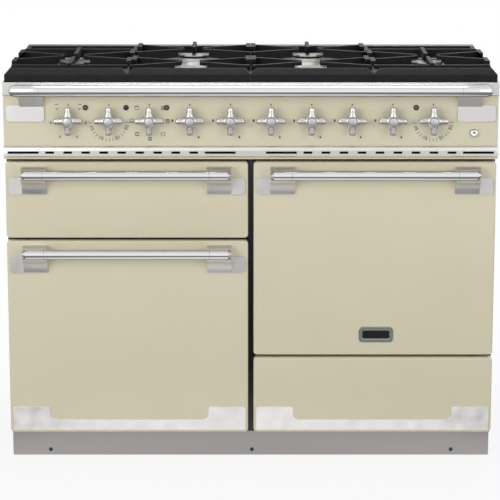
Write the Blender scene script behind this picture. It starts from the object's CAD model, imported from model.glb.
import math

import bmesh
import bpy
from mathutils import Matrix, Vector


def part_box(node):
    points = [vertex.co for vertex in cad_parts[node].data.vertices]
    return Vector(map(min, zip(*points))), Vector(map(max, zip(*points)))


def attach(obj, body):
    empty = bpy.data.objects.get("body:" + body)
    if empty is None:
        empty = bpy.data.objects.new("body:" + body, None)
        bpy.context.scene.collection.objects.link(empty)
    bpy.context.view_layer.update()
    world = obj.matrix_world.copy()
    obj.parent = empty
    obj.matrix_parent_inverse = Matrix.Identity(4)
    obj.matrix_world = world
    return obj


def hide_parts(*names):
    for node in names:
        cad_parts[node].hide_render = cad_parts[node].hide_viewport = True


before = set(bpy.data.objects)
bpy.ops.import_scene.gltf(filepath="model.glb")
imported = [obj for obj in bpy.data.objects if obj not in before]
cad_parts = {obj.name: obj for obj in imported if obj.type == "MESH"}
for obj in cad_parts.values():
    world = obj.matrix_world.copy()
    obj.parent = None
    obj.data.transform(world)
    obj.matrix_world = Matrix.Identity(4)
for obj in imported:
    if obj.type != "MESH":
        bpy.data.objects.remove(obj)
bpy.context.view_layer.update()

# The studio. The camera stands at eye level, five metres in front of the cooker's middle, and looks down at
# its front. A pale floor, a white surround and four soft boxes light it evenly.

PHOTO_PX = 500
FOCUS_PX = 2165.0
SENSOR_MM = 36.0
PITCH = math.radians(11.31)
EYE = (-0.0018, -5.0, 1.513)

camera = bpy.data.cameras.new("camera")
camera.sensor_width = SENSOR_MM
camera.lens = SENSOR_MM * FOCUS_PX / PHOTO_PX
camera.shift_y = -0.065
camera_stand = bpy.data.objects.new("camera", camera)
camera_stand.location = EYE
camera_stand.rotation_euler = (math.pi / 2 - PITCH, 0.0, 0.0)
bpy.context.scene.collection.objects.link(camera_stand)
bpy.context.scene.camera = camera_stand
bpy.context.scene.view_settings.view_transform = "Standard"


def shade(code):
    """Turns an sRGB hex colour into the linear values that a shader takes."""
    levels = [int(code[i:i + 2], 16) / 255 for i in (1, 3, 5)]
    linear = [c / 12.92 if c <= 0.04045 else ((c + 0.055) / 1.055) ** 2.4 for c in levels]
    return (*linear, 1.0)


def grey(level):
    """A neutral colour of this brightness."""
    return (level, level, level, 1.0)


def add_node(tree, kind, inputs=None, **settings):
    """Adds one node with its settings, and fills or links its inputs."""
    node = tree.nodes.new(kind)
    for name, value in settings.items():
        setattr(node, name, value)
    for name, value in (inputs or {}).items():
        if isinstance(value, bpy.types.NodeSocket):
            tree.links.new(value, node.inputs[name])
        else:
            node.inputs[name].default_value = value
    return node


def ray_kinds(tree):
    """Two switches: 1 for rays that see a surface straight or through glass, and 1 for mirrored rays."""
    rays = add_node(tree, "ShaderNodeLightPath")
    straight = add_node(tree, "ShaderNodeMath", {0: rays.outputs["Is Camera Ray"],
                                                 1: rays.outputs["Is Transmission Ray"]}, operation="MAXIMUM")
    return straight.outputs[0], rays.outputs["Is Glossy Ray"]


def grey_steps(ramp, first, last, between):
    """Gives a colour ramp its first and last grey, and the greys between them at their places."""
    stops = ramp.color_ramp.elements
    stops[0].color = grey(first)
    stops[1].color = grey(last)
    for place, level in between:
        stops.new(place).color = grey(level)


surround = bpy.data.worlds.new("surround")
surround.use_nodes = True
bpy.context.scene.world = surround
tree = surround.node_tree
tree.nodes.clear()
straight, glossy = ray_kinds(tree)
heading = add_node(tree, "ShaderNodeTexCoord")
height = add_node(tree, "ShaderNodeSeparateXYZ", {"Vector": heading.outputs["Generated"]})
band = add_node(tree, "ShaderNodeValToRGB", {"Fac": height.outputs["Z"]})
grey_steps(band, 1.0, 0.75, ((0.2, 0.9), (0.5, 0.95)))
soft_fill = add_node(tree, "ShaderNodeBackground", {"Color": grey(1), "Strength": 0.45})
mirrored = add_node(tree, "ShaderNodeBackground", {"Color": band.outputs["Color"], "Strength": 1.0})
white = add_node(tree, "ShaderNodeBackground", {"Color": grey(1), "Strength": 1.0})
unseen = add_node(tree, "ShaderNodeMixShader", {0: glossy, 1: soft_fill.outputs[0], 2: mirrored.outputs[0]})
seen = add_node(tree, "ShaderNodeMixShader", {0: straight, 1: unseen.outputs[0], 2: white.outputs[0]})
add_node(tree, "ShaderNodeOutputWorld", {"Surface": seen.outputs[0]})


def soft_box(name, place, target, size, watts):
    """A rectangular lamp behind cloth that points at the target."""
    data = bpy.data.lights.new(name, "AREA")
    data.shape = "RECTANGLE"
    data.size, data.size_y = size
    data.energy = watts
    stand = bpy.data.objects.new(name, data)
    stand.location = place
    stand.rotation_euler = (Vector(target) - Vector(place)).to_track_quat("-Z", "Y").to_euler()
    bpy.context.scene.collection.objects.link(stand)


FRONT_MIDDLE = (0, -0.2, 0.5)
soft_box("key_light", (-2.3, -3.6, 1.8), FRONT_MIDDLE, (2.6, 2.2), 68)
soft_box("fill_light", (2.6, -3.6, 1.6), FRONT_MIDDLE, (2.4, 2.2), 40)
soft_box("top_light", (0.0, 0.6, 3.4), (0, 0, 0.8), (1.6, 1.0), 24)
soft_box("back_light", (0.6, 3.6, 2.4), (0, 0, 0.5), (2.4, 1.8), 52)


def primitive(kind, name, **settings):
    """Adds a primitive with nothing else selected, and leaves its place in its mesh."""
    bpy.ops.object.select_all(action="DESELECT")
    getattr(bpy.ops.mesh, "primitive_" + kind + "_add")(**settings)
    piece = bpy.context.object
    piece.name = piece.data.name = name
    bpy.ops.object.transform_apply(location=True, rotation=True, scale=True)
    return piece


# Matt white paint. The eye sees it as white with a soft shadow, and metal mirrors it in bands: bright close to
# the cooker, dark further out, where a room's own floor would be, and white again at its far end.
RAMP_LONG = 5.0
floor = primitive("grid", "studio_floor", size=24, x_subdivisions=2, y_subdivisions=2)
floor_paint = bpy.data.materials.new("studio_floor_paint")
floor_paint.use_nodes = True
tree = floor_paint.node_tree
tree.nodes.clear()
straight, glossy = ray_kinds(tree)
spot = add_node(tree, "ShaderNodeTexCoord")
away = add_node(tree, "ShaderNodeVectorMath", {0: spot.outputs["Object"]}, operation="LENGTH")
share = add_node(tree, "ShaderNodeMapRange", {"Value": away.outputs["Value"], "From Min": 0.7,
                                              "From Max": 1.8, "To Min": 0.88, "To Max": 1.0})
along = add_node(tree, "ShaderNodeMapRange", {"Value": away.outputs["Value"], "From Min": 0.0,
                                              "From Max": RAMP_LONG})
bands = add_node(tree, "ShaderNodeValToRGB", {"Fac": along.outputs["Result"]})
grey_steps(bands, 0.75, 1.0, [(metres / RAMP_LONG, level)
                              for metres, level in ((0.62, 0.9), (0.9, 0.2), (3.2, 0.25), (3.9, 1.0))])
lit = add_node(tree, "ShaderNodeBsdfDiffuse", {"Color": shade("#E8E8E6")})
glow = add_node(tree, "ShaderNodeEmission", {"Color": grey(1), "Strength": 1.0})
sheen = add_node(tree, "ShaderNodeEmission", {"Color": grey(1), "Strength": bands.outputs["Color"]})
part = add_node(tree, "ShaderNodeMath", {0: straight, 1: share.outputs["Result"]}, operation="MULTIPLY")
plain = add_node(tree, "ShaderNodeMixShader", {0: part.outputs[0], 1: lit.outputs[0], 2: glow.outputs[0]})
both = add_node(tree, "ShaderNodeMixShader", {0: glossy, 1: plain.outputs[0], 2: sheen.outputs[0]})
add_node(tree, "ShaderNodeOutputMaterial", {"Surface": both.outputs[0]})
floor.data.materials.append(floor_paint)


# The carcase: a base and a back of zinc coated steel sheet, and a front frame and sides of black enamelled
# sheet. The frame is welded up from uprights and rails. The rest is folded on a press and screwed to it.

def finish_of(name, colour, **sockets):
    """Starts a material: its shader, with a colour and values. The words of a socket's name are joined by _."""
    material = bpy.data.materials.new(name)
    material.use_nodes = True
    shader = material.node_tree.nodes["Principled BSDF"]
    shader.inputs["Base Color"].default_value = shade(colour)
    for socket, value in sockets.items():
        shader.inputs[socket.replace("_", " ").title().replace("Ior", "IOR")].default_value = value
    return material, material.node_tree, shader


def grain(tree, size_mm, detail=2.0, stretch=(1, 1, 1), rough=0.5):
    """A noise pattern whose features have about this size, drawn out where stretch is below 1."""
    spot = add_node(tree, "ShaderNodeTexCoord")
    turn = add_node(tree, "ShaderNodeMapping", {"Vector": spot.outputs["Object"], "Scale": stretch})
    return add_node(tree, "ShaderNodeTexNoise", {"Vector": turn.outputs["Vector"], "Scale": 1000.0 / size_mm,
                                                 "Detail": detail, "Roughness": rough}).outputs["Fac"]


def uneven_shine(tree, shader, pattern, low, high):
    """Lets the middle part of a noise pattern, where most of it lies, vary the roughness between two values."""
    shine = add_node(tree, "ShaderNodeMapRange", {"Value": pattern, "From Min": 0.3, "From Max": 0.7,
                                                  "To Min": low, "To Max": high})
    tree.links.new(shine.outputs["Result"], shader.inputs["Roughness"])


def tint(tree, shader, pattern, colours):
    """Lets a pattern mix the base colour between two near shades."""
    mix = add_node(tree, "ShaderNodeMix", {0: pattern, 6: shade(colours[0]), 7: shade(colours[1])},
                   data_type="RGBA")
    tree.links.new(mix.outputs[2], shader.inputs["Base Color"])


def relief(tree, shader, pattern, height_mm, strength=1.0):
    """Lets a pattern raise and lower the surface by this height."""
    bump = add_node(tree, "ShaderNodeBump", {"Height": pattern, "Distance": height_mm / 1000.0,
                                             "Strength": strength})
    tree.links.new(bump.outputs["Normal"], shader.inputs["Normal"])


def vitreous_enamel(name, light, dark):
    """Fired glass over steel: a deep gloss with a faint orange peel and a slow drift of colour."""
    material, tree, shader = finish_of(name, light, roughness=0.2, ior=1.52, specular_ior_level=0.5)
    tint(tree, shader, grain(tree, 260, 1.0), (light, dark))
    relief(tree, shader, grain(tree, 5, 1.0), 0.012)
    uneven_shine(tree, shader, grain(tree, 40, 2.0), 0.16, 0.24)
    return material


def dressed(node, material):
    """Gives a CAD node its real finish."""
    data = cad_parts[node].data
    data.materials.clear()
    data.materials.append(material)


# Hot dipped zinc gives a dull grey with a pattern of crystals about 12 mm wide, some brighter than others.
CRYSTAL_MM = 12.5
galvanised, tree, shader = finish_of("galvanised_sheet", "#A9AEB1", metallic=0.85, roughness=0.42)
spot = add_node(tree, "ShaderNodeTexCoord")
spangle = add_node(tree, "ShaderNodeTexVoronoi", {"Vector": spot.outputs["Object"], "Scale": 1000 / CRYSTAL_MM})
tint(tree, shader, spangle.outputs["Distance"], ("#B4B8BA", "#989DA1"))
uneven_shine(tree, shader, grain(tree, 20, 2.0), 0.36, 0.5)

black_enamel = vitreous_enamel("black_vitreous_enamel", "#1B1B1C", "#151516")
for node in ("base_chassis", "back_panel"):
    dressed(node, galvanised)
for node in ("front_frame", "side_panels"):
    dressed(node, black_enamel)


# The levelling feet: moulded plastic pads on threaded stems. They screw up and down in the base until the
# cooker stands level with the worktops.

SMOOTH_BELOW = math.radians(35)
FLAT_WITHIN = math.radians(1.5)
BREAK_ABOVE = math.radians(38)
SAME_POINT = 0.00002


def alone(piece):
    """Goes back to object mode with this piece selected and active, and nothing else."""
    if bpy.context.mode != "OBJECT":
        bpy.ops.object.mode_set(mode="OBJECT")
    bpy.ops.object.select_all(action="DESELECT")
    piece.select_set(True)
    bpy.context.view_layer.objects.active = piece


def modify(piece, kind, **settings):
    """Adds a modifier and applies it."""
    alone(piece)
    step = piece.modifiers.new(kind, kind)
    for name, value in settings.items():
        setattr(step, name, value)
    bpy.ops.object.modifier_apply(modifier=step.name)


def finish_piece(piece, material, body, replaced=()):
    """Smooths a piece, gives it its material, and fixes it to the body that carries it."""
    alone(piece)
    bpy.ops.object.shade_smooth_by_angle(angle=SMOOTH_BELOW)
    piece.data.materials.clear()
    piece.data.materials.append(material)
    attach(piece, body)
    if replaced:
        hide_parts(*replaced)
    return piece


def softened(name, node, material, body, width, segments=2):
    """A copy of a CAD node with its edges broken by this width, as a press, a mould or a file leaves them."""
    bpy.ops.object.select_all(action="DESELECT")
    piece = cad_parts[node].copy()
    piece.data = piece.data.copy()
    piece.name = piece.data.name = name
    for key in list(piece.keys()):
        del piece[key]
    bpy.context.scene.collection.objects.link(piece)
    piece.parent = None
    piece.hide_viewport = piece.hide_render = False
    piece.hide_set(False)
    piece.select_set(True)
    bpy.context.view_layer.objects.active = piece
    bpy.ops.object.mode_set(mode="EDIT")
    bpy.ops.mesh.select_all(action="SELECT")
    bpy.ops.mesh.remove_doubles(threshold=SAME_POINT)
    bpy.ops.mesh.dissolve_limited(angle_limit=FLAT_WITHIN)
    modify(piece, "BEVEL", width=width, segments=segments, limit_method="ANGLE", angle_limit=BREAK_ABOVE,
           use_clamp_overlap=True)
    finish_piece(piece, material, body, [node])
    modify(piece, "WEIGHTED_NORMAL", keep_sharp=True, weight=60)
    return piece


# Glass filled nylon from a textured mould is black and matt, with a fine dry grain.
plastic, tree, shader = finish_of("black_moulded_plastic", "#202022", roughness=0.5)
relief(tree, shader, grain(tree, 0.8, 2.0), 0.03, 0.5)
softened("levelling_feet_turned", "levelling_feet", plastic, "cooker", 0.0015)


# The plinth: a folded strip of brushed stainless sheet across the foot of the cooker. Three black screws with
# crossed slots hold it, so that it comes off for access to the feet.

LENGTHWAYS = (0.012, 1, 1)
SCREW_X = (-0.459, 0.0025, 0.459)
SCREW_Y = -0.228
SCREW_Z = 0.016
SLOT_LONG = 0.0026
SLOT_THIN = 0.0005


def brushed_steel(name, light, dark, way, roughness, rim=1.0):
    """Stainless sheet, ground along one way: fine lines about 0.3 mm apart, drawn coarser so that they show.
    A low rim keeps its outline from turning white."""
    material, tree, shader = finish_of(name, light, metallic=1.0, roughness=roughness,
                                       specular_tint=grey(rim))
    lines = grain(tree, 0.7, 2.0, way, 0.6)
    tint(tree, shader, lines, (dark, light))
    uneven_shine(tree, shader, lines, roughness - 0.04, roughness + 0.04)
    relief(tree, shader, lines, 0.004, 0.1)
    return material


def select_where(piece, kind, test):
    """In edit mode, selects the vertices, edges or faces that pass a test, and nothing else."""
    bpy.ops.object.mode_set(mode="EDIT")
    bpy.ops.mesh.select_mode(type=kind)
    bpy.ops.mesh.select_all(action="DESELECT")
    form = bmesh.from_edit_mesh(piece.data)
    form.normal_update()
    for item in {"VERT": form.verts, "EDGE": form.edges, "FACE": form.faces}[kind]:
        if test(item):
            item.select_set(True)
    form.select_flush_mode()
    bmesh.update_edit_mesh(piece.data)


def turned(name, profile, segments=48):
    """A solid turned about Z: each step of the profile is a height and a radius."""
    piece = primitive("circle", name, vertices=segments, radius=profile[0][1], fill_type="NGON",
                      location=(0, 0, profile[0][0]))
    select_where(piece, "FACE", lambda f: True)
    for (z0, r0), (z1, r1) in zip(profile, profile[1:]):
        bpy.ops.mesh.extrude_region_move(TRANSFORM_OT_translate={"value": (0, 0, z1 - z0)})
        bpy.ops.transform.resize(value=(r1 / r0, r1 / r0, 1), center_override=(0, 0, z1))
    bpy.ops.mesh.select_all(action="SELECT")
    bpy.ops.mesh.normals_make_consistent(inside=False)
    bpy.ops.object.mode_set(mode="OBJECT")
    return piece


def moved(piece, place=(0, 0, 0), turn=(0, 0, 0)):
    """Turns a piece in degrees, moves it, and leaves its place in its mesh."""
    alone(piece)
    piece.rotation_euler = [math.radians(a) for a in turn]
    piece.location = place
    bpy.ops.object.transform_apply(location=True, rotation=True, scale=True)
    return piece


def joined(name, pieces):
    """Makes one piece of several."""
    bpy.ops.object.select_all(action="DESELECT")
    for piece in pieces:
        piece.select_set(True)
    bpy.context.view_layer.objects.active = pieces[0]
    bpy.ops.object.join()
    pieces[0].name = pieces[0].data.name = name
    return pieces[0]


def block(name, low, high):
    """A block between two corners."""
    low, high = Vector(low), Vector(high)
    return primitive("cube", name, size=1, location=(low + high) / 2, scale=high - low)


def cut_away(piece, low, high):
    """Cuts a block out of a piece."""
    cutter = block("cutter", low, high)
    modify(piece, "BOOLEAN", operation="DIFFERENCE", object=cutter, solver="EXACT")
    bpy.data.objects.remove(cutter)


plinth_steel = brushed_steel("plinth_stainless_sheet", "#ADA9A8", "#A19E9C", LENGTHWAYS, 0.34)
softened("brushed_plinth", "plinth", plinth_steel, "cooker", 0.0008)
screws = []
for x in SCREW_X:
    head = turned("head", [(-0.012, 0.0025), (0, 0.0025), (0, 0.0045), (0.0006, 0.0045), (0.0012, 0.0038),
                           (0.0015, 0.0025)], 24)
    moved(head, (x, SCREW_Y, SCREW_Z), (90, 0, 0))
    for half_x, half_z in ((SLOT_LONG, SLOT_THIN), (SLOT_THIN, SLOT_LONG)):
        cut_away(head, (x - half_x, SCREW_Y - 0.0020, SCREW_Z - half_z),
                 (x + half_x, SCREW_Y - 0.0008, SCREW_Z + half_z))
    screws.append(head)
finish_piece(joined("plinth_screw_heads", screws), black_enamel, "cooker", ["plinth_screws"])


# The oven cavities, the doors' inner pans, the grill pan, the drawer box and the plates over the fans: steel
# sheet, deep drawn or folded, under dark oven enamel. The cavities hang in the carcase behind the front frame.

DOORS = ("grill_door", "left_oven_door", "right_oven_door")

# Ground coat enamel gives a nearly black gloss, with pale flecks a millimetre or two wide that hide splashes.
oven_enamel, tree, shader = finish_of("flecked_oven_enamel", "#2E3036", roughness=0.22, ior=1.52)
sparse = add_node(tree, "ShaderNodeMapRange", {"Value": grain(tree, 1.6, 1.0), "From Min": 0.66,
                                               "From Max": 0.70})
tint(tree, shader, sparse.outputs["Result"], ("#2E3036", "#8D9096"))
relief(tree, shader, grain(tree, 5, 1.0), 0.012)

for node in ("left_oven_liner", "right_oven_liner", "grill_liner"):
    dressed(node, oven_enamel)
for door in DOORS:
    pan = door.replace("_door", "_inner_pan")
    softened(pan, door + "_liner", oven_enamel, door, 0.0018, 3)
softened("grill_pan_pressing", "grill_pan", oven_enamel, "cooker", 0.0009)
softened("drawer_pressing", "drawer_box", oven_enamel, "drawer", 0.0009)
softened("pierced_fan_plates", "fan_baffles", oven_enamel, "cooker", 0.0008)


# The racks and shelves are steel wire, bent, spot welded and chromed. The racks hook on to the cavity walls,
# and the shelves slide in them.

def plated(name, light, roughness, rim=1.0, waves=0.5):
    """Chromium over polished metal: a bright mirror, softened by fine wiping marks. A low rim darkens its
    outline, and waves says how far the metal under the plate is from flat."""
    material, tree, shader = finish_of(name, light, metallic=1.0, roughness=roughness,
                                       specular_tint=grey(rim))
    marks = grain(tree, 30, 3.0)
    uneven_shine(tree, shader, marks, roughness * 0.85, roughness * 1.2)
    relief(tree, shader, grain(tree, 25, 1.0), 0.004, waves)
    return material


bright_chrome = plated("bright_chrome_plate", "#EDEDEE", 0.07, 0.05)
for node in ("oven_shelves", "shelf_supports"):
    dressed(node, bright_chrome)


# The heating elements: coiled wire in steel sheaths, bent to shape. A grill rod and a roof rod hang under the
# cavities' roofs, and a ring goes round each oven fan.

def coloured_metal(name, light, dark, roughness, size_mm):
    """Cast, turned or heated metal: a soft shine with a slow drift of tone and fine tool marks."""
    material, tree, shader = finish_of(name, light, metallic=1.0, roughness=roughness)
    tint(tree, shader, grain(tree, size_mm, 3.0), (dark, light))
    relief(tree, shader, grain(tree, 1.5, 2.0), 0.03, 0.4)
    return material


dressed("heating_elements", coloured_metal("heat_darkened_sheath", "#6B625A", "#4A443F", 0.45, 25))


# The oven fans: bladed wheels of plain steel sheet, each on the shaft of a motor in a zinc coated case that
# is screwed to the back of the cavity.

fan_steel = brushed_steel("plain_fan_steel", "#B9B8B4", "#A5A4A0", (1, 1, 1), 0.35)
for node in ("left_oven_fan", "right_oven_fan"):
    dressed(node, fan_steel)
dressed("fan_motors", galvanised)


# The door seals: loops of black silicone rubber that hook into the front frame round each cavity. The doors
# press on them when they close.

# Silicone rubber straight from the die is black and dull, with a fine skin.
seal, tree, shader = finish_of("black_seal_rubber", "#262626", roughness=0.75)
relief(tree, shader, grain(tree, 2, 2.0), 0.1)
dressed("door_seals", seal)


# The gas and electrical parts: a brass rail with taps and pipes to the burners, moulded switches, and at the
# back a moulded terminal cover and a brass gas fitting.

def without_islands(piece, unwanted):
    """Deletes each loose part of a piece whose box passes a test."""
    bpy.ops.object.mode_set(mode="EDIT")
    form = bmesh.from_edit_mesh(piece.data)
    left = set(form.verts)
    gone = []
    while left:
        island, queue = [], [left.pop()]
        while queue:
            vert = queue.pop()
            island.append(vert)
            for edge in vert.link_edges:
                other = edge.other_vert(vert)
                if other in left:
                    left.discard(other)
                    queue.append(other)
        low = Vector([min(v.co[k] for v in island) for k in range(3)])
        high = Vector([max(v.co[k] for v in island) for k in range(3)])
        if unwanted(low, high):
            gone += island
    bmesh.ops.delete(form, geom=gone, context="VERTS")
    bmesh.update_edit_mesh(piece.data)
    bpy.ops.object.mode_set(mode="OBJECT")


brass = coloured_metal("turned_brass", "#C9A45A", "#B38C43", 0.28, 20)
dressed("gas_pipework", brass)
dressed("oven_switches", plastic)
terminal_cover = softened("terminal_cover", "supply_inlets", plastic, "cooker", 0.0015)
without_islands(terminal_cover, lambda low, high: low.x > 0)
gas_fitting = softened("gas_fitting", "supply_inlets", brass, "cooker", 0.0008)
without_islands(gas_fitting, lambda low, high: low.x < 0)


# The fronts of the doors and the drawer: steel sheet, pressed into shallow trays with rolled edges, under
# cream vitreous enamel. Each closes over the inner pan behind it, with slots at its foot for the hinge ears.

FACE_Y = -0.278
SKIN_Y = -0.258
CORNER_R = 0.008
ROLL_R = 0.0035
SHEET = 0.002
EAR_HALF = 0.0055
EAR_INSET = 0.046
EAR_TOP = 0.0305
CUTTER_SPARE = 0.001
cream = vitreous_enamel("cream_vitreous_enamel", "#D3CDB5", "#CFC8AF")


def runs_along(edge, axis):
    """True where an edge runs along X, Y or Z."""
    way = (edge.verts[1].co - edge.verts[0].co).normalized()
    return abs(way["XYZ".index(axis)]) > 0.999


def enamelled_front(name, node, body, has_ears):
    """A pressed tray: rounded corners, a rolled front edge, an open back, and slots for the hinge ears."""
    low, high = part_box(node)
    piece = block(name, (low.x, FACE_Y, low.z), (high.x, SKIN_Y, high.z))
    select_where(piece, "EDGE", lambda e: runs_along(e, "Y"))
    bpy.ops.mesh.bevel(offset=CORNER_R, segments=6, affect="EDGES")
    select_where(piece, "FACE", lambda f: f.normal.y > 0.9)
    bpy.ops.mesh.delete(type="FACE")
    select_where(piece, "FACE", lambda f: f.normal.y < -0.9)
    bpy.ops.mesh.region_to_loop()
    bpy.ops.mesh.bevel(offset=ROLL_R, segments=4, affect="EDGES")
    modify(piece, "SOLIDIFY", thickness=SHEET, offset=-1)
    if has_ears:
        for x in (low.x + EAR_INSET, high.x - EAR_INSET):
            cut_away(piece, (x - EAR_HALF, FACE_Y + ROLL_R, low.z - CUTTER_SPARE),
                     (x + EAR_HALF, SKIN_Y + CUTTER_SPARE, low.z + EAR_TOP))
    finish_piece(piece, cream, body, [node])


for door in DOORS:
    enamelled_front(door + "_front", door + "_skin", door, True)
enamelled_front("drawer_enamel_front", "drawer_front", "drawer", False)


# The door handles: chromed tube bars with turned end rings, held at each end in a satin chromed bracket that
# is screwed on from behind the door's skin.

BAR_R = 0.0105
BAR_HALF = 0.233
BAR_RING = 0.1835
BAR_TAPER = 0.009
BAR_TIP_R = 0.0015
RING_DEEP = 0.0007
BRACKET_LONGEST = 0.3
soft_chrome = plated("soft_satin_chrome_plate", "#DAD8D6", 0.42)


def bar(name, centre, half, radius, ends, ring):
    """A round bar along X with shaped ends and a fine ring groove near each."""
    profile = [(-half + along, radius - inward) for along, inward in ends]
    profile += [(-ring - 0.0008, radius), (-ring - 0.0004, radius - RING_DEEP),
                (-ring + 0.0004, radius - RING_DEEP), (-ring + 0.0008, radius)]
    profile += [(-z, r) for z, r in reversed(profile)]
    return moved(turned(name, profile, 64), centre, (0, 90, 0))


for door in DOORS:
    side = door.split("_")[0]
    node = door + "_handle"
    low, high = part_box(node)
    # The bar's axis is as high as the foremost points of its solid.
    foremost = [v.co.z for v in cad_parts[node].data.vertices if v.co.y < low.y + 0.0004]
    middle = Vector(((low.x + high.x) / 2, low.y + BAR_R, sum(foremost) / len(foremost)))
    taper = ((0, BAR_R - BAR_TIP_R), (BAR_TAPER, 0))
    tube = bar(side + "_handle_bar", middle, BAR_HALF, BAR_R, taper, BAR_RING)
    finish_piece(tube, bright_chrome, door)
    brackets = softened(side + "_handle_brackets", node, soft_chrome, door, 0.0016, 3)
    without_islands(brackets, lambda low, high: high.x - low.x > BRACKET_LONGEST)


# Bright trims with raised corners along the foot of the left door and the drawer: pressed steel, satin
# chromed and clipped on.

trim_chrome = plated("pale_satin_chrome_plate", "#F4F2F0", 0.42, waves=0.12)
softened("left_door_foot_trim", "left_oven_door_trim", trim_chrome, "left_oven_door", 0.0005)
softened("drawer_foot_trim", "drawer_trim", trim_chrome, "drawer", 0.0005)


# The plate on the right door: a chromed casting with rounded corners, glued on. Its middle is sunk and filled
# with black enamel, and carries no words.

FIELD_EDGE = 0.0085
badge = "right_oven_door_badge"
softened("blank_plate", badge, bright_chrome, "right_oven_door", 0.0009, 3)
low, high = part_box(badge)
field = block("blank_plate_field", (low.x + FIELD_EDGE, FACE_Y - 0.0022, low.z + FIELD_EDGE),
              (high.x - FIELD_EDGE, FACE_Y - 0.0005, high.z - FIELD_EDGE))
select_where(field, "EDGE", lambda e: runs_along(e, "Y"))
bpy.ops.mesh.bevel(offset=0.002, segments=3, affect="EDGES")
finish_piece(field, black_enamel, "right_oven_door")


# The slotted trim under the panel lets cooling air out. It is folded stainless steel with a rolled top edge,
# screwed to the front frame.

pale_steel = brushed_steel("pale_stainless_sheet", "#E6E3E0", "#DBD8D4", LENGTHWAYS, 0.3)
softened("slotted_vent_trim", "vent_trim", pale_steel, "cooker", 0.0008)


# The control panel: steel sheet under the same cream enamel, folded at its edges, with a dial printed round
# each knob in black ink and fired on. From the left: grill, thermostat, oven function, six taps, thermostat.

KNOBS = 10
KNOB_PITCH = 0.0893
KNOB_Z = 0.788
GRILL_KNOB = 0
FUNCTION_KNOB = 2
THERMOSTATS = (1, 9)
GAS_TAPS = range(3, 9)
PANEL_Y = -0.282
DIAL_Z = KNOB_Z - 0.003
INK_T = 0.0002
softened("control_panel_front", "control_panel", cream, "cooker", 0.0012, 3)

# Screen printed ink, fired into the enamel, gives a brownish black that is duller than the glass round it.
ink, tree, shader = finish_of("fired_black_ink", "#4A463B", roughness=0.4)
tint(tree, shader, grain(tree, 0.8, 2.0), ("#55503F", "#413D33"))

knob_x = [(i - (KNOBS - 1) / 2) * KNOB_PITCH for i in range(KNOBS)]
marks = []


def stroke_mark(x, z, width, tall, turn=0.0):
    """A printed stroke, turned in degrees."""
    stroke = block("stroke", (-width / 2, PANEL_Y - INK_T, -tall / 2), (width / 2, PANEL_Y, tall / 2))
    marks.append(moved(stroke, (x, 0, z), (0, turn, 0)))


def dot_mark(x, z, radius, stretch=1.0):
    """A printed dot, or an oval where stretch is above 1."""
    spot = turned("spot", [(0, radius), (INK_T, radius)], 14)
    spot.scale = (1, stretch, 1)
    marks.append(moved(spot, (x, PANEL_Y, z), (90, 0, 0)))


OVEN_MARK = 0.0078
OUTLINE = 0.0010


def oven_mark(x, z, filled):
    """A small oven: a square outline with strokes where its heat comes from, at the top, foot or middle."""
    for side in (-1, 1):
        stroke_mark(x + side * OVEN_MARK / 2, z, OUTLINE, OVEN_MARK)
        stroke_mark(x, z + side * OVEN_MARK / 2, OVEN_MARK, OUTLINE)
    for level in filled:
        stroke_mark(x, z + level * OVEN_MARK, OVEN_MARK * 0.7, 0.0013)


def on_dial(i, away, turn):
    """The place this far from a dial's middle, turned in degrees from its right."""
    return knob_x[i] + away * math.cos(math.radians(turn)), DIAL_Z + away * math.sin(math.radians(turn))


for i, x in enumerate(knob_x):
    dot_mark(x, DIAL_Z + 0.0375, 0.0015, 1.4)
    if i in GAS_TAPS:
        # A tall flame on the left for full heat, and a low one below the right arm for simmering.
        dot_mark(x - 0.0385, DIAL_Z + 0.0030, 0.0014, 1.9)
        dot_mark(x - 0.0385, DIAL_Z + 0.0012, 0.0022)
        dot_mark(x + 0.0193, DIAL_Z - 0.0345, 0.0013, 2.1)
        dot_mark(x + 0.0193, DIAL_Z - 0.0356, 0.0018)

TICKS = 17
FIRST_TICK = 184.6
TICK_STEP = 10.8
BESIDE = 5.5
NUMERAL = 0.0052
for i in THERMOSTATS:
    for step in range(TICKS):
        turn = FIRST_TICK + TICK_STEP * step
        heavy = step % 4 == 2
        away = 0.0405 if heavy else 0.0412
        long, thick = (0.0085, 0.0019) if heavy else (0.0072, 0.0011)
        stroke_mark(*on_dial(i, away, turn), long, thick, -turn)
        if heavy:
            left_half = turn < 270
            bpy.ops.object.select_all(action="DESELECT")
            bpy.ops.object.text_add()
            figure = bpy.context.object
            figure.data.body = str(100 + 50 * (step // 4))
            figure.data.size = NUMERAL
            figure.data.extrude = INK_T
            figure.data.align_x = "CENTER"
            figure.data.align_y = "CENTER"
            bpy.ops.object.convert(target="MESH")
            place_x, place_z = on_dial(i, away, turn + (-BESIDE if left_half else BESIDE))
            upright = -turn + (180 if left_half else 0)
            marks.append(moved(figure, (place_x, PANEL_Y, place_z), (90, upright, 0)))

# Round the grill knob: a bar over a chevron on each side of the top, and slanted pairs beside it and below.
for side in (-1, 1):
    x = knob_x[GRILL_KNOB] + side * 0.0243
    stroke_mark(knob_x[GRILL_KNOB] + side * 0.0258, DIAL_Z + 0.0381, 0.0078, 0.0015)
    stroke_mark(x - 0.0015, DIAL_Z + 0.0285, 0.0012, 0.0052, -28)
    stroke_mark(x + 0.0015, DIAL_Z + 0.0285, 0.0012, 0.0052, 28)
    for dx, dz in ((0.0385, -0.0025), (0.0187, -0.0335)):
        x = knob_x[GRILL_KNOB] + side * dx
        stroke_mark(x - 0.0010, DIAL_Z + dz, 0.0013, 0.0066, 18)
        stroke_mark(x + 0.0012, DIAL_Z + dz - 0.0012, 0.0013, 0.0044, -24)

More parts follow.
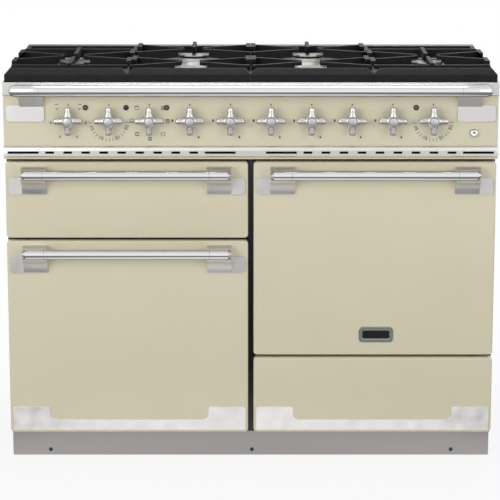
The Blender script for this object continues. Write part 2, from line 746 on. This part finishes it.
# Round the function knob: seven small ovens, each with its own strokes.
OVENS = ((-0.0280, 0.0307, (0.3,)), (0.0300, 0.0300, (0.3, 0.0, -0.3)), (-0.0389, 0.0017, (-0.3,)),
         (0.0403, 0.0012, (0.0, 0.3)), (-0.0276, -0.0280, (-0.3, 0.3)), (0.0300, -0.0280, ()),
         (0.0007, -0.0384, (0.0, -0.3, 0.3)))
for dx, dz, filled in OVENS:
    oven_mark(knob_x[FUNCTION_KNOB] + dx, DIAL_Z + dz, filled)
finish_piece(joined("dial_marks", marks), ink, "cooker")


# Four neon lamps tell which oven is heating. Each is a moulded black rim, pushed through the panel from the
# front, round a domed acrylic lens. The lens beside the first thermostat is dark blue, the others smoke grey.

LAMP_Z = 0.816
LAMP_OFF = 0.038
LAMP_X = [knob_x[i] + LAMP_OFF for i in range(3)] + [knob_x[9] - LAMP_OFF]

# Polished ABS is black with a clean shine.
neon_rim, tree, shader = finish_of("black_lamp_rim", "#24242A", roughness=0.3)
relief(tree, shader, grain(tree, 1, 2.0), 0.01)


def acrylic_lens(name, colour, light, dark):
    """Dyed acrylic over an unlit neon: a small wet looking dome, patchy from the electrodes behind it."""
    material, tree, shader = finish_of(name, colour, roughness=0.12, ior=1.49)
    tint(tree, shader, grain(tree, 3, 1.0), (light, dark))
    return material


rims, lenses = [], []
for x in LAMP_X:
    rim = turned("rim", [(-0.02, 0.0044), (0, 0.0044), (0, 0.006), (0.0018, 0.006), (0.0025, 0.0052),
                         (0.0025, 0.0035), (0.0012, 0.0032)], 32)
    rims.append(moved(rim, (x, PANEL_Y, LAMP_Z), (90, 0, 0)))
    lens = turned("lens", [(0.0008, 0.0031), (0.0018, 0.0030), (0.0024, 0.0022), (0.0027, 0.0008)], 24)
    lenses.append(moved(lens, (x, PANEL_Y, LAMP_Z), (90, 0, 0)))
thermostat_lens = lenses.pop(1)
thermostat_lens.name = thermostat_lens.data.name = "thermostat_lamp_lens"
finish_piece(joined("lamp_rims", rims), neon_rim, "cooker", ["indicator_lights"])
finish_piece(thermostat_lens, acrylic_lens("dark_blue_lamp_lens", "#23263A", "#2C3048", "#1C1E2E"), "cooker")
finish_piece(joined("lamp_lenses", lenses), acrylic_lens("smoked_lamp_lens", "#6E6A5E", "#7E7A6C", "#59564D"),
             "cooker")


# The ignition button: a turned and chromed cap with a thin collar. It is pushed in against a spring, and works
# the spark generator.

BUTTON_X = 0.492
BUTTON_Z = 0.759
button = turned("ignition_button_cap", [
    (-0.014, 0.0087), (-0.0048, 0.0087), (-0.0048, 0.0107), (-0.0029, 0.0107), (-0.0029, 0.0087),
    (0.0050, 0.0087), (0.0066, 0.0084), (0.0078, 0.0074), (0.0082, 0.0060), (0.0078, 0.0035), (0.0074, 0.0005)])
moved(button, (BUTTON_X, PANEL_Y, BUTTON_Z), (90, 0, 0))
finish_piece(button, bright_chrome, "ignition_button", ["ignition_button"])


# The knobs: crosses of satin chromed zinc, cast in one piece on a stepped foot, with a flat disc in the middle
# and a small mark on the upper arm. Each turns a tap or a switch through its steel spindle.

HUB_SIDE = 0.0108
HUB_HALF_DEEP = 0.0080
HUB_BACK = 0.0085
HUB_FRONT = 0.0075
POINTER_AT = 0.0235
POINTER_UP = 0.0054
ARM_AXIS = 0.021
ARM_SIDE = 0.0080
ARM_STEPS = ((0.0150, 0.0086), (0.0190, ARM_SIDE), (0.0283, ARM_SIDE), (0.0318, ARM_SIDE * 0.78))
knob_chrome = plated("satin_chromed_zinc", "#C9C7C6", 0.34)


def copied(piece, name, place, turn=(0, 0, 0)):
    """A copy with its own mesh, turned in degrees and moved by this much."""
    twin = piece.copy()
    twin.data = piece.data.copy()
    twin.name = twin.data.name = name
    bpy.context.scene.collection.objects.link(twin)
    return moved(twin, place, turn)


cross = block("knob_pattern", (-HUB_SIDE, -HUB_SIDE, ARM_AXIS - HUB_BACK),
              (HUB_SIDE, HUB_SIDE, ARM_AXIS + HUB_FRONT))
for way in (Vector((1, 0, 0)), Vector((0, 1, 0)), Vector((-1, 0, 0)), Vector((0, -1, 0))):
    select_where(cross, "FACE", lambda f: f.normal.dot(way) > 0.99
                 and f.calc_center_median().dot(way) > HUB_SIDE - 0.0003)
    reach, side, deep = HUB_SIDE, HUB_SIDE, HUB_HALF_DEEP
    for end, width in ARM_STEPS:
        bpy.ops.mesh.extrude_region_move(TRANSFORM_OT_translate={"value": way * (end - reach)})
        thin = width / side
        across = (1 if abs(way.x) > 0.5 else thin, 1 if abs(way.y) > 0.5 else thin, width / deep)
        bpy.ops.transform.resize(value=across, center_override=way * end + Vector((0, 0, ARM_AXIS)))
        reach, side, deep = end, width, width
select_where(cross, "FACE", lambda f: f.normal.z > 0.99 and abs(f.calc_center_median().x) < 0.004
             and abs(f.calc_center_median().y) < 0.004)
bpy.ops.mesh.inset(thickness=0.0025, depth=0.0035)
modify(cross, "SUBSURF", levels=3, render_levels=3)
foot = turned("foot", [
    (0.0003, 0.0110), (0.0030, 0.0110), (0.0038, 0.0100), (0.0080, 0.0090), (0.0120, 0.0105), (0.0180, 0.0115)])
disc = turned("disc", [
    (0.0230, 0.0118), (0.0300, 0.0116), (0.0305, 0.0110), (0.0304, 0.0104), (0.0285, 0.0102), (0.0285, 0.0094),
    (0.0328, 0.0092), (0.0336, 0.0084), (0.0340, 0.0060)])
spindle = turned("spindle", [(-0.022, 0.003), (0.002, 0.003)], 24)
pattern = joined("knob_pattern", [cross, foot, disc, spindle])
pointer = turned("pointer_pattern", [(0, 0.0008), (0.0009, 0.0008), (0.0011, 0.0005)], 16)
pointer.scale = (1, 2.2, 1)
moved(pointer, (0, POINTER_AT, ARM_AXIS + POINTER_UP))
for i, x in enumerate(knob_x):
    node = "knob_%d" % (i + 1)
    knob = copied(pattern, node + "_cross", (x, PANEL_Y, KNOB_Z), (90, 0, 0))
    finish_piece(knob, knob_chrome, node, [node])
    line = copied(pointer, node + "_pointer", (x, PANEL_Y, KNOB_Z), (90, 0, 0))
    finish_piece(line, ink, node)
for piece in (pattern, pointer):
    bpy.data.objects.remove(piece)


# The hob is one stainless steel pressing with a raised rim. Behind it a folded steel upstand with slots lets
# the ovens' hot air out. Both are ground along their length.

bright_steel = brushed_steel("brushed_stainless_sheet", "#D6D4D1", "#CCCAC7", LENGTHWAYS, 0.26, 0.25)
grey_steel = brushed_steel("grey_stainless_sheet", "#989694", "#8C8A88", LENGTHWAYS, 0.34, 0.3)
softened("hob_pressing", "hob_top", bright_steel, "cooker", 0.002, 3)
softened("vent_upstand", "rear_upstand", grey_steel, "cooker", 0.0012)


# The gas burners: a cast alloy base on a bright ring, a crown with flame slots all round, a pressed steel cap
# under black enamel, and a ceramic spark electrode beside each. They drop into holes in the hob.

WELL_Z = 0.858
STEM_FOOT_Z = 0.845
STEM_R = 0.0187
CROWN_SLOTS = 36
SLOT_LOW, SLOT_HIGH = 0.0150, 0.0200
SLOT_DEEP = 0.0028
SPARK_AT = (0.0401, 0.008)
COLUMNS = ((-1.5, (-0.011,)), (-0.5, (-0.123, 0.122)), (0.5, (-0.123, 0.122)), (1.5, (-0.011,)))


def cast_surface(name, light, dark, roughness):
    """Cast iron or a steel pressing under matt enamel: a sandy skin with grains near a millimetre."""
    material, tree, shader = finish_of(name, light, roughness=roughness, specular_ior_level=0.04)
    sand = grain(tree, 1.6, 3.0)
    tint(tree, shader, grain(tree, 18, 2.0), (dark, light))
    relief(tree, shader, sand, 0.25, 0.5)
    uneven_shine(tree, shader, sand, roughness - 0.08, roughness + 0.1)
    return material


burner_alloy = coloured_metal("cast_burner_alloy", "#F4F3F0", "#E4E2DE", 0.5, 12)
cap_enamel = cast_surface("black_cap_enamel", "#1E1E20", "#161617", 0.3)
satin_chrome = plated("satin_chrome_plate", "#CFCDCC", 0.26)

# Glazed alumina is off white and smooth, with a faint ripple in the glaze.
electrode_ceramic, tree, shader = finish_of("white_electrode_ceramic", "#E9E7DF", roughness=0.25)
relief(tree, shader, grain(tree, 2, 2.0), 0.02)


def lies_in_slot(face):
    """True for every second face of the crown's wall."""
    middle = face.calc_center_median()
    place = math.atan2(middle.y, middle.x) / math.radians(180 / CROWN_SLOTS) - 0.5
    return len(face.verts) == 4 and SLOT_LOW < middle.z < SLOT_HIGH and round(place) % 2 == 0


crown = turned("burner_pattern", [
    (0.0, 0.046), (0.0022, 0.046), (0.0035, 0.0435), (0.0035, 0.0335), (0.0045, 0.0305), (0.011, 0.0300),
    (0.0125, 0.0335), (SLOT_LOW, 0.0360), (SLOT_HIGH, 0.0360), (0.0205, 0.0355)], CROWN_SLOTS * 2)
select_where(crown, "FACE", lies_in_slot)
bpy.ops.mesh.extrude_faces_move(TRANSFORM_OT_shrink_fatten={"value": -SLOT_DEEP})
bpy.ops.object.mode_set(mode="OBJECT")
cap = turned("cap_pattern", [
    (0.0205, 0.0365), (0.0213, 0.0374), (0.0232, 0.0374), (0.0243, 0.0365),
    (0.0252, 0.0330), (0.0256, 0.0280), (0.0259, 0.0180), (0.0261, 0.0020)], 64)
insulator = turned("insulator_pattern", [
    (0.0035, 0.0030), (0.0060, 0.0030), (0.0065, 0.0023), (0.0085, 0.0023),
    (0.0090, 0.0027), (0.0100, 0.0027), (0.0105, 0.0021), (0.0125, 0.0019)], 20)
spark = turned("spark_pattern", [(0.0120, 0.0009), (0.0170, 0.0009), (0.0175, 0.0005)], 12)

column_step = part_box("pan_support_2")[0].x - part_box("pan_support_1")[0].x
burner_places = [(column * column_step, y, WELL_Z) for column, rows in COLUMNS for y in rows]
bodies = [copied(crown, "crown_copy", place) for place in burner_places]
caps = [copied(cap, "cap_copy", place) for place in burner_places]
posts, tips = [], []
for x, y, z in burner_places:
    beside = (x + SPARK_AT[0], y + SPARK_AT[1], z)
    posts.append(copied(insulator, "post_copy", beside))
    tips.append(copied(spark, "tip_copy", beside))
    stem = turned("stem", [(STEM_FOOT_Z, STEM_R), (WELL_Z, STEM_R)], 32)
    bodies.append(moved(stem, (x, y, 0)))
finish_piece(joined("burner_crowns", bodies), burner_alloy, "cooker", ["burner_bodies"])
finish_piece(joined("burner_cap_lids", caps), cap_enamel, "cooker", ["burner_caps"])
finish_piece(joined("electrode_insulators", posts), electrode_ceramic, "cooker",
             ["spark_electrodes"])
finish_piece(joined("electrode_tips", tips), satin_chrome, "cooker")
for piece in (crown, cap, insulator, spark):
    bpy.data.objects.remove(piece)


# The pan supports: four cast iron grids under matt black enamel. They stand loose on the hob and lift off. As
# castings they are a little wider than drawn and nearly touch.

SUPPORTS = 4
WIDER = 0.0011
iron = cast_surface("enamelled_cast_iron", "#2B2B2D", "#232325", 0.6)
for i in range(1, SUPPORTS + 1):
    node = "pan_support_%d" % i
    casting = softened(node + "_casting", node, iron, node, 0.0013)
    low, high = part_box(node)
    for side, way, outermost in ((high.x, 1, SUPPORTS), (low.x, -1, 1)):
        if i != outermost:
            select_where(casting, "VERT", lambda v: abs(v.co.x - side) < 0.0015)
            bpy.ops.transform.translate(value=(way * WIDER, 0, 0))
            bpy.ops.object.mode_set(mode="OBJECT")


# The hand rail: a stout chromed tube with round ends right across the front, held at each end in a satin
# chromed bracket that is screwed on from behind.

RAIL_R = 0.0125
RAIL_HALF = 0.529
RAIL_RING = 0.463
END_STEPS = (12, 30, 48, 66, 90)
low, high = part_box("hand_rail")
round_end = [(RAIL_R * (1 - math.cos(math.radians(a))), RAIL_R * (1 - math.sin(math.radians(a))))
             for a in END_STEPS]
rail = bar("hand_rail_bar", (0, low.y + RAIL_R, high.z - RAIL_R), RAIL_HALF, RAIL_R, round_end, RAIL_RING)
finish_piece(rail, bright_chrome, "cooker")
brackets = softened("hand_rail_brackets", "hand_rail", soft_chrome, "cooker", 0.0012, 3)
without_islands(brackets, lambda low, high: high.x - low.x > BRACKET_LONGEST)
